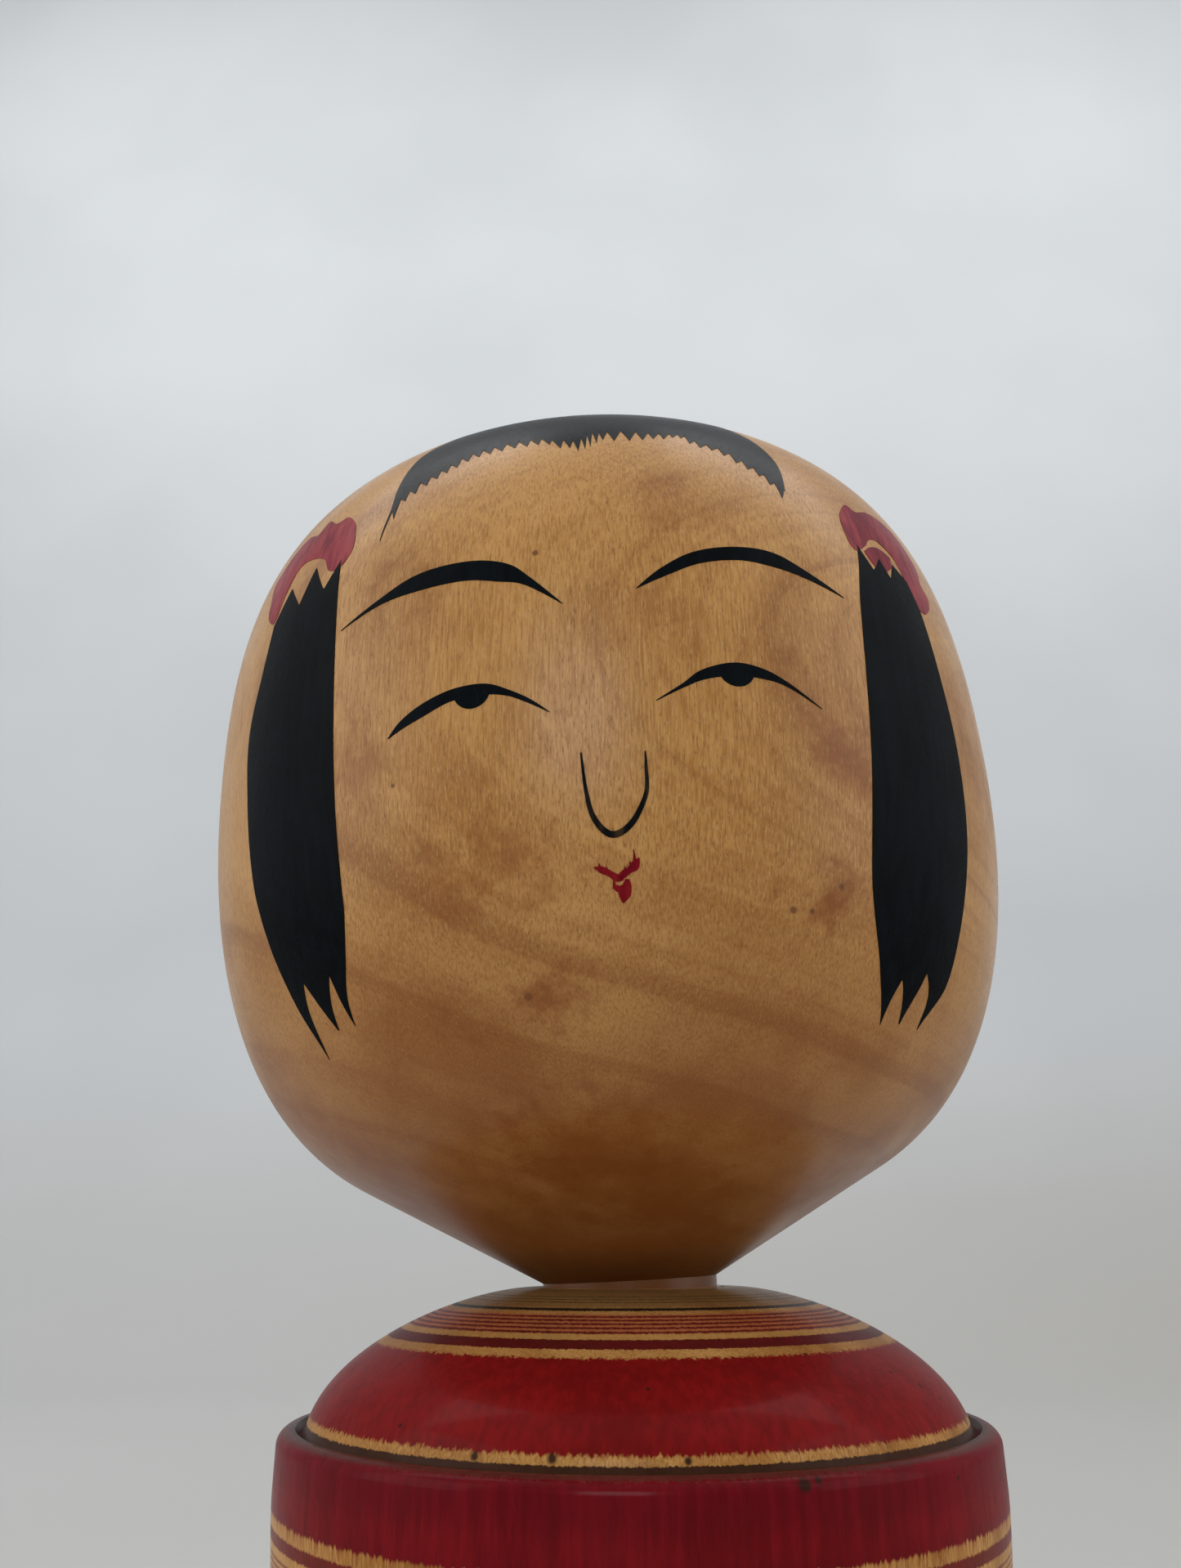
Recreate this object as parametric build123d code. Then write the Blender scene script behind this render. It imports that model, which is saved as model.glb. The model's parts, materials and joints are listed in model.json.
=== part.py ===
from build123d import *
import math
import os

# Turned wooden kokeshi doll: a body with a blind socket in its shoulder, and a head whose
# neck plug snaps into that socket and turns in it.  Millimetres, +Z up, the face looks along -Y.
# The origin is the centre of the flat foot, on the surface that the doll stands on.

# ---- body, measured from the foot up --------------------------------------------------------
FOOT_RADIUS = 30.5
FOOT_EDGE_ROUND = 1.2
WAIST_RADIUS = 27.5
WAIST_HEIGHT = 62.0
SHOULDER_RADIUS = 32.0
SHOULDER_HEIGHT = 145.6        # the ledge that rings the foot of the dome
SHOULDER_BAND = 4.6            # the upright stretch of the side below the ledge
SHOULDER_EDGE_ROUND = 1.2
DOME_RADIUS = 29.6
DOME_RISE = 11.0               # from the ledge to the top of the dome
DOME_FOOT_ANGLE = 76.0         # how steeply the dome leaves the ledge, in degrees
DOME_FLAT_RADIUS = 9.5         # the level rim round the neck
GROOVE_WIDTH = 0.8             # the tool line between ledge and dome
GROOVE_DEPTH = 0.6

# ---- head, measured from the neck seat up along its own axis --------------------------------
NECK_RADIUS = 8.3
NECK_LENGTH = 1.2
CHIN_ANGLE = 28.0              # slope of the underside, in degrees from level
CHIN_RADIUS = 24.8             # where the straight underside runs into the cheek
HEAD_RADIUS = 40.3
CHEEK_HEIGHT = 47.0            # height of the widest ring
HEAD_HEIGHT = 84.0

# ---- how the head sits in the body ----------------------------------------------------------
HEAD_LEAN = 2.6                # the bore leans towards -X, so the head does too, in degrees
LEAN_CENTRE_DEPTH = 6.5        # below the seat, where the bore crosses the middle of the body
SEAT_DEPTH = 0.6               # how far the neck seat is sunk below the dome's rim
SEAT_GAP = 0.05                # air under the neck, so that it turns
NECK_CLEARANCE = 0.4           # round the neck, inside the sunk seat
PLUG_RADIUS = 6.0
COLLAR_LENGTH = 11.0           # the tight stretch of the bore
BULB_SWELL = 0.5               # how much the plug's end is thicker than the tight stretch
BULB_LENGTH = 8.0
BULB_NOSE = 1.5                # the bevel that lets the bulb snap in
TURNING_CLEARANCE = 0.06       # radial, plug in collar
BULB_CLEARANCE = 0.3           # radial and above the bulb, bulb in its chamber
SOCKET_SPARE_DEPTH = 1.5       # below the bulb
DRILL_POINT_ANGLE = 30.0       # slope of the bore's pointed bottom, in degrees

# ---- how full the curves are, as shares of the stretch that they cross -----------------------
FOOT_FULLNESS = 0.45
WAIST_FULLNESS = 0.57
FLARE_FULLNESS = 0.08
DOME_SIDE_FULLNESS = 0.3
DOME_TOP_FULLNESS = 0.3
CHIN_FULLNESS = 0.3
CHEEK_FULLNESS = 0.51
TEMPLE_FULLNESS = 0.82
CROWN_FULLNESS = 0.77

DOME_TOP = SHOULDER_HEIGHT + DOME_RISE
SEAT_HEIGHT = DOME_TOP - SEAT_DEPTH
LEAN_CENTRE_HEIGHT = SEAT_HEIGHT - LEAN_CENTRE_DEPTH
BULB_RADIUS = PLUG_RADIUS + BULB_SWELL
PLUG_LENGTH = COLLAR_LENGTH + BULB_CLEARANCE + BULB_LENGTH


def turned(outline, name):
    """The solid that a closed outline in the XZ plane sweeps round the Z axis."""
    solid = revolve(make_face(outline), Axis.Z)
    solid.label = name
    return solid


def along_lean(shape):
    """Moves a shape from upright at the origin to the neck seat, on the leaning bore's axis."""
    upright = Pos(0, 0, LEAN_CENTRE_DEPTH) * shape
    return Pos(0, 0, LEAN_CENTRE_HEIGHT) * Rot(0, -HEAD_LEAN, 0) * upright


def rim_at(solid, height):
    """The widest circular edge of a turned solid at one height."""
    circles = solid.edges().filter_by(GeomType.CIRCLE)
    return circles.filter_by_position(Axis.Z, height, height).sort_by(SortBy.RADIUS)[-1]


def body_blank():
    """The body as it leaves the lathe, before it is bored."""
    foot = (FOOT_RADIUS, 0, 0)
    waist = (WAIST_RADIUS, 0, WAIST_HEIGHT)
    band_height = SHOULDER_HEIGHT - SHOULDER_BAND
    band = (SHOULDER_RADIUS, 0, band_height)
    ledge_out = (SHOULDER_RADIUS, 0, SHOULDER_HEIGHT)
    ledge_in = (DOME_RADIUS, 0, SHOULDER_HEIGHT)
    rim = (DOME_FLAT_RADIUS, 0, DOME_TOP)

    lower_span = WAIST_HEIGHT
    upper_span = band_height - WAIST_HEIGHT
    lower_side = Bezier(
        foot,
        (FOOT_RADIUS, 0, FOOT_FULLNESS * lower_span),
        (WAIST_RADIUS, 0, WAIST_HEIGHT - FOOT_FULLNESS * lower_span),
        waist,
    )
    upper_side = Bezier(
        waist,
        (WAIST_RADIUS, 0, WAIST_HEIGHT + WAIST_FULLNESS * upper_span),
        (SHOULDER_RADIUS, 0, band_height - FLARE_FULLNESS * upper_span),
        band,
    )
    dome_span = math.hypot(DOME_RADIUS - DOME_FLAT_RADIUS, DOME_RISE)
    steep = math.radians(DOME_FOOT_ANGLE)
    side_handle = DOME_SIDE_FULLNESS * dome_span
    top_handle = DOME_TOP_FULLNESS * (DOME_RADIUS - DOME_FLAT_RADIUS)
    dome = Bezier(
        ledge_in,
        (
            DOME_RADIUS - side_handle * math.cos(steep),
            0,
            SHOULDER_HEIGHT + side_handle * math.sin(steep),
        ),
        (DOME_FLAT_RADIUS + top_handle, 0, DOME_TOP),
        rim,
    )
    outline = [
        Line((0, 0, 0), foot),
        lower_side,
        upper_side,
        Line(band, ledge_out),
        Line(ledge_out, ledge_in),
        dome,
        Line(rim, (0, 0, DOME_TOP)),
        Line((0, 0, DOME_TOP), (0, 0, 0)),
    ]
    blank = turned(outline, "body")

    ledge_width = SHOULDER_RADIUS - DOME_RADIUS - GROOVE_WIDTH
    blank = fillet(rim_at(blank, 0), FOOT_EDGE_ROUND)
    return fillet(rim_at(blank, SHOULDER_HEIGHT), min(SHOULDER_EDGE_ROUND, 0.9 * ledge_width))


def tool_groove():
    """The V that the point of the chisel leaves where the dome stands on the ledge."""
    bottom = (DOME_RADIUS + GROOVE_WIDTH / 2, 0, SHOULDER_HEIGHT - GROOVE_DEPTH)
    inner = (DOME_RADIUS, 0, SHOULDER_HEIGHT)
    outer = (DOME_RADIUS + GROOVE_WIDTH, 0, SHOULDER_HEIGHT)
    lifted_inner = (DOME_RADIUS, 0, SHOULDER_HEIGHT + GROOVE_DEPTH)
    lifted_outer = (DOME_RADIUS + GROOVE_WIDTH, 0, SHOULDER_HEIGHT + GROOVE_DEPTH)
    outline = Polyline(bottom, outer, lifted_outer, lifted_inner, inner, close=True)
    return turned(outline, "groove")


def socket():
    """The space bored into the shoulder: sunk seat, tight collar, wider chamber, drill point."""
    seat_radius = NECK_RADIUS + NECK_CLEARANCE
    collar_radius = PLUG_RADIUS + TURNING_CLEARANCE
    chamber_radius = BULB_RADIUS + BULB_CLEARANCE
    chamber_bottom = -(PLUG_LENGTH + SOCKET_SPARE_DEPTH)
    point_depth = chamber_radius * math.tan(math.radians(DRILL_POINT_ANGLE))
    above = DOME_RISE
    outline = Polyline(
        (0, 0, above),
        (seat_radius, 0, above),
        (seat_radius, 0, 0),
        (collar_radius, 0, 0),
        (collar_radius, 0, -COLLAR_LENGTH),
        (chamber_radius, 0, -COLLAR_LENGTH),
        (chamber_radius, 0, chamber_bottom),
        (0, 0, chamber_bottom - point_depth),
        close=True,
    )
    return turned(outline, "socket")


def head():
    """The head and its neck plug, one turned piece, upright with the neck seat at the origin."""
    chin_rise = (CHIN_RADIUS - NECK_RADIUS) * math.tan(math.radians(CHIN_ANGLE))
    neck_low = (NECK_RADIUS, 0, SEAT_GAP)
    neck_high = (NECK_RADIUS, 0, NECK_LENGTH)
    chin = (CHIN_RADIUS, 0, NECK_LENGTH + chin_rise)
    cheek = (HEAD_RADIUS, 0, CHEEK_HEIGHT)
    crown = (0, 0, HEAD_HEIGHT)

    slope = math.radians(CHIN_ANGLE)
    chin_handle = CHIN_FULLNESS * math.hypot(cheek[0] - chin[0], cheek[2] - chin[2])
    crown_span = HEAD_HEIGHT - CHEEK_HEIGHT
    lower_face = Bezier(
        chin,
        (
            chin[0] + chin_handle * math.cos(slope),
            0,
            chin[2] + chin_handle * math.sin(slope),
        ),
        (HEAD_RADIUS, 0, CHEEK_HEIGHT - CHEEK_FULLNESS * (CHEEK_HEIGHT - chin[2])),
        cheek,
    )
    upper_face = Bezier(
        cheek,
        (HEAD_RADIUS, 0, CHEEK_HEIGHT + TEMPLE_FULLNESS * crown_span),
        (CROWN_FULLNESS * HEAD_RADIUS, 0, HEAD_HEIGHT),
        crown,
    )

    bulb_top = -(COLLAR_LENGTH + BULB_CLEARANCE)
    nose_radius = BULB_RADIUS - BULB_NOSE
    plug = Polyline(
        (0, 0, -PLUG_LENGTH),
        (nose_radius, 0, -PLUG_LENGTH),
        (BULB_RADIUS, 0, -PLUG_LENGTH + BULB_NOSE),
        (BULB_RADIUS, 0, bulb_top),
        (PLUG_RADIUS, 0, bulb_top),
        (PLUG_RADIUS, 0, SEAT_GAP),
        neck_low,
        neck_high,
        chin,
    )
    axis = Line(crown, (0, 0, -PLUG_LENGTH))
    return turned([plug, lower_face, upper_face, axis], "head")


body_piece = body_blank() - tool_groove() - along_lean(socket())
head_piece = along_lean(head())

os.makedirs("parts", exist_ok=True)
export_step(body_piece, "parts/body.step")
export_step(head_piece, "parts/head.step")

turn_axis = Vector(0, 0, 1).rotate(Axis.Y, -HEAD_LEAN)
print("head turns about", tuple(turn_axis), "through height", LEAN_CENTRE_HEIGHT)
print("overall height", head_piece.bounding_box().max.Z)
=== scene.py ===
# %% [markdown]
# # A turned doll with a painted face
# The doll is two pieces of wood from the lathe. The head has a plug under its neck, which snaps
# into a socket in the body's shoulder and turns there. Everything else is brushwork and dye.
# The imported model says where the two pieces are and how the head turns, so it is loaded first,
# and every size below is in the doll's own millimetres, worked out from that frame.

# %% Load the frame
import json
import math
import random

import bmesh
import bpy
from mathutils import Matrix, Vector
from mathutils.geometry import interpolate_bezier


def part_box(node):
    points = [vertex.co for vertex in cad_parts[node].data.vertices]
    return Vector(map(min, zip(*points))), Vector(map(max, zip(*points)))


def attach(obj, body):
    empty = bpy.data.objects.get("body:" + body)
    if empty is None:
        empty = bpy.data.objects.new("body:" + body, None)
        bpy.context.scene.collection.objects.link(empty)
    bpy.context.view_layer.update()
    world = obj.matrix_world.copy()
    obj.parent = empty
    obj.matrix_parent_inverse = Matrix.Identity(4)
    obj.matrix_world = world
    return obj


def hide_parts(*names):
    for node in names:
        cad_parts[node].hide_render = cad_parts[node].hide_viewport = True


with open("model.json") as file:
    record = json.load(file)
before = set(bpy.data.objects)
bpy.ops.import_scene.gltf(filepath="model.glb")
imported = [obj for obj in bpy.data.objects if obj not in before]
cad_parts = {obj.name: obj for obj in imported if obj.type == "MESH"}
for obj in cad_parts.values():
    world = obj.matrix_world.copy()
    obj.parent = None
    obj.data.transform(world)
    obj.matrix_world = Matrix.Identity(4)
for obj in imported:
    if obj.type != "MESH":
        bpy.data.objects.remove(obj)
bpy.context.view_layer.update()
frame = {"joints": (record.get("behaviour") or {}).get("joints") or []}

MM = 0.001
body_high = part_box("body")[1]
turn = frame["joints"][0]

# %% [markdown]
# ## The camera
# The doll is seen from very close, a hand's width away, with the camera just above the shoulder
# and tipped up at the face. That is why the head looks so large over the body. A lens as wide
# as a phone's is needed at that distance. The camera could be aimed with a constraint, but a
# plain turn about Z, then X, then its own axis keeps all three angles readable.

# %% Camera
CAMERA_DISTANCE = 122.06 * MM
CAMERA_ABOVE_DOME = 2.98 * MM
LOOK_LEFT, LOOK_UP, ROLL = 1.81, 21.66, -0.28
SENSOR_WIDTH, LENS = 36.0, 35.95

camera_data = bpy.data.cameras.new("close_camera")
camera_data.sensor_fit = "HORIZONTAL"
camera_data.sensor_width = SENSOR_WIDTH
camera_data.lens = LENS
camera_data.clip_start = 0.01
camera = bpy.data.objects.new("close_camera", camera_data)
bpy.context.scene.collection.objects.link(camera)
aim = (
    Matrix.Rotation(math.radians(LOOK_LEFT), 4, "Z")
    @ Matrix.Rotation(math.radians(90 + LOOK_UP), 4, "X")
    @ Matrix.Rotation(math.radians(ROLL), 4, "Z")
)
camera.matrix_world = Matrix.Translation((0, -CAMERA_DISTANCE, body_high.z + CAMERA_ABOVE_DOME)) @ aim
bpy.context.scene.camera = camera
print("camera stands at", [round(c / MM, 1) for c in camera.matrix_world.translation], "mm")

# %% [markdown]
# ## The stage
# A roll of pale paper runs along the floor and curves up behind the doll, so there is no line
# where floor meets wall. One strip extruded along a curve makes it. It is big and far enough
# back for its edges to stay out of sight.

# %% Paper sweep
SWEEP_HALF_WIDTH = 4.0
SWEEP_FRONT, SWEEP_BACK, SWEEP_TOP = -4.0, 1.5, 6.5
SWEEP_BEND, SWEEP_BEND_STEPS = 0.8, 16

bm = bmesh.new()
route = [(SWEEP_FRONT, 0.0)]
for step in range(SWEEP_BEND_STEPS + 1):
    angle = math.pi / 2 * step / SWEEP_BEND_STEPS
    route.append((SWEEP_BACK + SWEEP_BEND * math.sin(angle), SWEEP_BEND * (1 - math.cos(angle))))
route.append((SWEEP_BACK + SWEEP_BEND, SWEEP_TOP))
spots = [bm.verts.new((-SWEEP_HALF_WIDTH, y, z)) for y, z in route]
strip = [bm.edges.new(pair) for pair in zip(spots, spots[1:])]
grown = bmesh.ops.extrude_edge_only(bm, edges=strip)["geom"]
far_side = [item for item in grown if isinstance(item, bmesh.types.BMVert)]
bmesh.ops.translate(bm, verts=far_side, vec=(2 * SWEEP_HALF_WIDTH, 0, 0))
bmesh.ops.recalc_face_normals(bm, faces=bm.faces)
for face in bm.faces:
    face.smooth = True
sweep_mesh = bpy.data.meshes.new("paper_sweep")
bm.to_mesh(sweep_mesh)
bm.free()
paper_sweep = bpy.data.objects.new("paper_sweep", sweep_mesh)
bpy.context.scene.collection.objects.link(paper_sweep)
print("sweep has", len(sweep_mesh.polygons), "faces")

# %% [markdown]
# ## Node helpers
# Every finish below is a tree of shader nodes. Small helpers keep the trees short to write: they
# add a node and plug in its inputs, numbers or sockets alike, and make node groups with named
# sockets, for effects that several finishes share.

# %% Node helpers
def plug(tree, socket, value):
    """Gives an input socket a wire or a plain value."""
    if isinstance(value, bpy.types.NodeSocket):
        tree.links.new(value, socket)
    else:
        socket.default_value = value


def add_node(tree, kind, inputs=None, **settings):
    """Adds a node, sets its options, and gives each named or numbered input a value or a wire."""
    node = tree.nodes.new(kind)
    for key, value in settings.items():
        setattr(node, key, value)
    for key, value in (inputs or {}).items():
        plug(tree, node.inputs[key], value)
    return node


def calc(tree, operation, *terms):
    """One Math node; each term is a number or a socket."""
    return add_node(tree, "ShaderNodeMath", dict(enumerate(terms)), operation=operation).outputs[0]


def fade(tree, value, start, end, low=0.0, high=1.0):
    """A smooth step from low to high as value goes from start to end."""
    inputs = {"Value": value, "From Min": start, "From Max": end, "To Min": low, "To Max": high}
    return add_node(tree, "ShaderNodeMapRange", inputs, interpolation_type="SMOOTHSTEP").outputs[0]


def tint(tree, amount, under, over):
    """Lays one colour over another by an amount."""
    node = add_node(tree, "ShaderNodeMix", data_type="RGBA")
    for number, value in ((0, amount), (6, under), (7, over)):
        plug(tree, node.inputs[number], value)
    return node.outputs[2]


def vector(tree, operation, *terms):
    """One Vector Math node; each term is a triple or a socket."""
    return add_node(tree, "ShaderNodeVectorMath", dict(enumerate(terms)), operation=operation).outputs


def noise(tree, place, scale, detail, roughness=0.5):
    """A cloudy value between 0 and 1; detail is how many finer layers it has."""
    inputs = {"Vector": place, "Scale": scale, "Detail": detail, "Roughness": roughness}
    return add_node(tree, "ShaderNodeTexNoise", inputs).outputs["Fac"]


def spread(tree, place, pitch, detail):
    """Noise drawn out along one way; pitch is its waves per metre along X, Y and Z."""
    return noise(tree, vector(tree, "MULTIPLY", place, pitch)[0], 1.0, detail)


def spot_on(tree, place, spot, inner, outer, strength):
    """A soft round mark at a spot: full inside the inner radius, gone at the outer, in metres."""
    gap = vector(tree, "DISTANCE", place, spot)["Value"]
    return fade(tree, gap, inner, outer, strength, 0)


def new_group(name, inputs, outputs):
    """An empty node group with its sockets, and its own input and output nodes."""
    group = bpy.data.node_groups.new(name, "ShaderNodeTree")
    for label, kind, value in inputs:
        socket = group.interface.new_socket(name=label, in_out="INPUT", socket_type=kind)
        if value is not None:
            socket.default_value = value
    for label, kind in outputs:
        group.interface.new_socket(name=label, in_out="OUTPUT", socket_type=kind)
    return group, group.nodes.new("NodeGroupInput"), group.nodes.new("NodeGroupOutput")


def use_group(tree, group, inputs):
    """Places a finished group in a material and plugs in its inputs."""
    return add_node(tree, "ShaderNodeGroup", inputs, node_tree=group).outputs


def new_material(name, **constants):
    """A material with a Principled shader; plain numbers go straight onto its sockets."""
    material = bpy.data.materials.new(name)
    material.use_nodes = True
    tree = material.node_tree
    shader = tree.nodes["Principled BSDF"]
    for key, value in constants.items():
        shader.inputs[key.replace("_", " ").title().replace("Ior", "IOR")].default_value = value
    return material, tree, shader


FLOAT, VECTOR, COLOR = "NodeSocketFloat", "NodeSocketVector", "NodeSocketColor"

# %% [markdown]
# ## Paper
# Seamless paper isn't one flat grey: it has a soft mottle from its fibres, for which two noises
# of very different size are enough. Towards the floor it falls into a warm shade, a little more
# so at the right. A painted gradient is simpler here than a flag that would throw a real shadow.

# %% Paper finish
PAPER = (0.755, 0.785, 0.805, 1)
PAPER_SHADE = (0.70, 0.73, 0.75, 1)
FLOOR_SHADE = (0.47, 0.455, 0.425, 1)

paper, tree, shader = new_material("seamless_paper", roughness=0.9, specular_ior_level=0.2)
place = add_node(tree, "ShaderNodeTexCoord").outputs["Object"]
fibre = noise(tree, place, 900.0, 3.0)
mottle = calc(tree, "MULTIPLY_ADD", fibre, 0.15, noise(tree, place, 1.6, 2.0))
colour = tint(tree, fade(tree, mottle, 0.35, 0.8), PAPER, PAPER_SHADE)
parts = add_node(tree, "ShaderNodeSeparateXYZ", {"Vector": place})
low = fade(tree, parts.outputs["Z"], 0.0, 0.8, 0.95, 0.0)
right = fade(tree, parts.outputs["X"], -1.2, 1.2, 0.72, 1.0)
colour = tint(tree, calc(tree, "MULTIPLY", low, right), colour, FLOOR_SHADE)
tree.links.new(colour, shader.inputs["Base Color"])
tooth = add_node(tree, "ShaderNodeBump", {"Strength": 0.1, "Distance": 0.2 * MM, "Height": fibre})
tree.links.new(tooth.outputs["Normal"], shader.inputs["Normal"])
sweep_mesh.materials.append(paper)
print("paper nodes", len(tree.nodes))

# %% [markdown]
# ## The lathe
# A turned piece is an outline spun about an axis, on the lathe and in Blender. The outline is
# straight runs and Bezier stretches, each sampled finely enough for a smooth edge. Spin merges
# its last step into its first, the two poles are welded, and the normals are worked out again
# because spin doesn't promise that they point out.

# %% Lathe helpers
SPIN_STEPS = 192
SHARP = math.radians(32)


def bend(start, start_handle, end_handle, end, points):
    """Points along one Bezier stretch of an outline, as (radius, height) pairs."""
    knots = [Vector((r, 0, h)) for r, h in (start, start_handle, end_handle, end)]
    return [(p.x, p.z) for p in interpolate_bezier(*knots, points)]


def spin_outline(bm, outline):
    """Adds an outline in millimetres to a mesh and spins it all the way round Z."""
    spots = [bm.verts.new((r * MM, 0, h * MM)) for r, h in outline]
    edges = [bm.edges.new(pair) for pair in zip(spots, spots[1:])]
    bmesh.ops.spin(
        bm, geom=spots + edges, cent=(0, 0, 0), axis=(0, 0, 1), dvec=(0, 0, 0),
        angle=2 * math.pi, steps=SPIN_STEPS, use_merge=True,
    )
    bmesh.ops.remove_doubles(bm, verts=bm.verts, dist=0.0005 * MM)


def finish_mesh(bm, name, material):
    """Points the normals out, keeps hard edges hard, and makes the object."""
    bmesh.ops.recalc_face_normals(bm, faces=bm.faces)
    for face in bm.faces:
        face.smooth = True
    for edge in bm.edges:
        edge.smooth = not (len(edge.link_faces) == 2 and edge.calc_face_angle(0) > SHARP)
    open_edges = sum(1 for edge in bm.edges if not edge.is_manifold)
    mesh = bpy.data.meshes.new(name)
    bm.to_mesh(mesh)
    bm.free()
    mesh.materials.append(material)
    piece = bpy.data.objects.new(name, mesh)
    bpy.context.scene.collection.objects.link(piece)
    print(name, len(mesh.polygons), "faces,", open_edges, "open edges")
    return piece


# %% [markdown]
# ## Outlines
# These are the sizes of the two turned pieces. The head's outline is measured from the neck's
# seat up its own axis, because the bore that holds it leans a little. Varnish and paint take up
# the last few hundredths of a millimetre, so the wood itself is turned that much under size.

# %% Outline of the body
SKIN = 0.05
FOOT_RADIUS, FOOT_EDGE = 30.5, 1.2
WAIST_RADIUS, WAIST_HEIGHT = 27.5, 62.0
SHOULDER_RADIUS, SHOULDER_HEIGHT, SHOULDER_BAND, SHOULDER_EDGE = 32.0, 145.6, 4.6, 1.2
DOME_RADIUS, DOME_RISE, DOME_FOOT_ANGLE, RIM_RADIUS = 29.6, 11.0, 76.0, 9.5
DOME_FULLNESS = 0.3
GROOVE_WIDTH, GROOVE_DEPTH = 0.8, 0.6
DOME_TOP = SHOULDER_HEIGHT + DOME_RISE


def corner(centre_radius, centre_height, size, start, end, steps=8):
    """A rounded corner of an outline, from one angle to another in degrees."""
    turns = [math.radians(start + (end - start) * step / steps) for step in range(steps + 1)]
    return [(centre_radius + size * math.cos(a), centre_height + size * math.sin(a)) for a in turns]


def body_side():
    """The body's side and dome, from the floor to the rim round the neck."""
    band = SHOULDER_HEIGHT - SHOULDER_BAND
    rise = band - WAIST_HEIGHT
    foot = (FOOT_RADIUS, 0.0)
    waist = (WAIST_RADIUS, WAIST_HEIGHT)
    lower = bend(foot, (FOOT_RADIUS, 0.45 * WAIST_HEIGHT), (WAIST_RADIUS, 0.55 * WAIST_HEIGHT), waist, 48)
    upper = bend(
        waist, (WAIST_RADIUS, WAIST_HEIGHT + 0.57 * rise),
        (SHOULDER_RADIUS, band - 0.08 * rise), (SHOULDER_RADIUS, band), 64,
    )
    steep = math.radians(DOME_FOOT_ANGLE)
    side_handle = DOME_FULLNESS * math.hypot(DOME_RADIUS - RIM_RADIUS, DOME_RISE)
    dome = bend(
        (DOME_RADIUS, SHOULDER_HEIGHT),
        (DOME_RADIUS - side_handle * math.cos(steep), SHOULDER_HEIGHT + side_handle * math.sin(steep)),
        (RIM_RADIUS + DOME_FULLNESS * (DOME_RADIUS - RIM_RADIUS), DOME_TOP), (RIM_RADIUS, DOME_TOP), 48,
    )
    foot_edge = corner(FOOT_RADIUS - FOOT_EDGE, FOOT_EDGE, FOOT_EDGE, -90, 0)
    ledge_edge = corner(
        SHOULDER_RADIUS - SHOULDER_EDGE, SHOULDER_HEIGHT - SHOULDER_EDGE, SHOULDER_EDGE, 0, 90,
    )
    groove = [
        (DOME_RADIUS + GROOVE_WIDTH, SHOULDER_HEIGHT),
        (DOME_RADIUS + GROOVE_WIDTH / 2, SHOULDER_HEIGHT - GROOVE_DEPTH),
    ]
    side = [spot for spot in lower if spot[1] > FOOT_EDGE] + upper[1:]
    return foot_edge + side + ledge_edge + groove + dome


body_outline = body_side()
print("body outline has", len(body_outline), "points")

# %% Outline of the head
NECK_RADIUS, NECK_LENGTH, SEAT_GAP = 8.3, 1.2, 0.05
CHIN_ANGLE, CHIN_RADIUS = 28.0, 24.8
HEAD_RADIUS, CHEEK_HEIGHT, HEAD_HEIGHT = 40.3, 47.0, 84.0


def head_side():
    """The head's outside, from the neck's lower edge to the crown."""
    slope = math.radians(CHIN_ANGLE)
    chin = (CHIN_RADIUS, NECK_LENGTH + (CHIN_RADIUS - NECK_RADIUS) * math.tan(slope))
    cheek = (HEAD_RADIUS, CHEEK_HEIGHT)
    reach = 0.3 * math.hypot(cheek[0] - chin[0], cheek[1] - chin[1])
    face = bend(
        chin, (chin[0] + reach * math.cos(slope), chin[1] + reach * math.sin(slope)),
        (HEAD_RADIUS, CHEEK_HEIGHT - 0.51 * (CHEEK_HEIGHT - chin[1])), cheek, 64,
    )
    crown = bend(
        cheek, (HEAD_RADIUS, CHEEK_HEIGHT + 0.82 * (HEAD_HEIGHT - CHEEK_HEIGHT)),
        (0.77 * HEAD_RADIUS, HEAD_HEIGHT), (0.0, HEAD_HEIGHT), 80,
    )
    return [(NECK_RADIUS, SEAT_GAP), (NECK_RADIUS, NECK_LENGTH)] + face + crown[1:]


head_outline = head_side()
print("head outline has", len(head_outline), "points")

# %% [markdown]
# ## Where paint lands
# A brush works on the wood, not in the air, so every stroke is planned as an angle round the
# piece and a height up it, and then wrapped onto the turned surface. This little class keeps a
# piece's outline and answers with the point and the direction straight out of the wood. The
# head's answers are then moved onto its leaning axis. Angle 0 faces the front, and plus is the
# viewer's right.

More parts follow.
